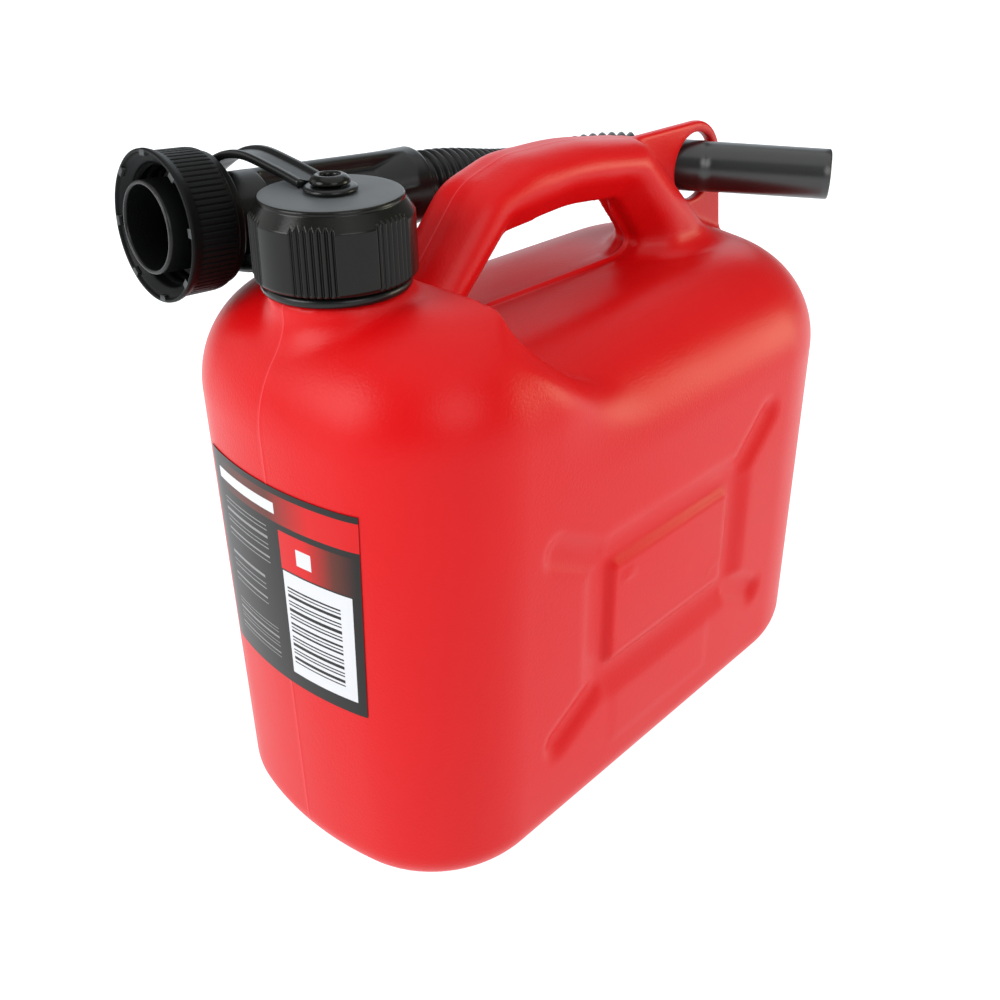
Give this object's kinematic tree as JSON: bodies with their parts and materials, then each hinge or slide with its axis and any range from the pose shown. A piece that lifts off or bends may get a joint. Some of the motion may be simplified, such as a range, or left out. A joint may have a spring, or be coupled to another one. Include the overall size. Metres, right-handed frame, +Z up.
{
  "type": "fuel can",
  "caption": "Hollow moulded fuel can with a bow handle, a tethered screw cap and a corrugated pouring spout stowed beside the handle through a rear lug.",
  "frame": {"origin": "centre of the flat base, on the plane it stands on", "axes": "+X from the neck end to the rear end, +Y to the side that carries the stowed spout, +Z up"},
  "size_m": [0.2686, 0.1463, 0.2471],
  "materials": {
    "red_shell": "satin blow-moulded plastic with a fine grain",
    "printed_film": "smooth printed film with plain colour blocks",
    "black_moulding": "satin injection-moulded plastic",
    "seal": "matt rubber"
  },
  "bodies": {
    "can": {"can_body": "red_shell", "front_label": "printed_film", "cap_tether": "black_moulding", "spout_base": "black_moulding", "spout_gasket": "seal", "spout_hose": "black_moulding", "spout_nozzle": "black_moulding"},
    "eyelet": {"tether_eyelet": "black_moulding"},
    "cap": {"cap_shell": "black_moulding", "cap_liner": "seal"},
    "nut": {"collar_nut": "black_moulding"}
  },
  "joints": [
    {"name": "cap_lift", "type": "slide", "parent": "can", "child": "eyelet", "axis": [0, 0, 1], "range_m": [0, 0.008], "deforming": ["cap_tether"]},
    {"name": "cap_turn", "type": "hinge", "parent": "eyelet", "child": "cap", "pos_m": [-0.1, 0, 0.225], "axis": [0, 0, 1], "range_deg": [0, 720]},
    {"name": "collar_turn", "type": "hinge", "parent": "can", "child": "nut", "pos_m": [-0.129, 0.0549, 0.2226], "axis": [0.9972, -0.0496, -0.0566], "continuous": true}
  ],
  "couplings": [
    {"joint": "cap_turn", "follows": "cap_lift", "rad_per_m": 1570.8}
  ]
}
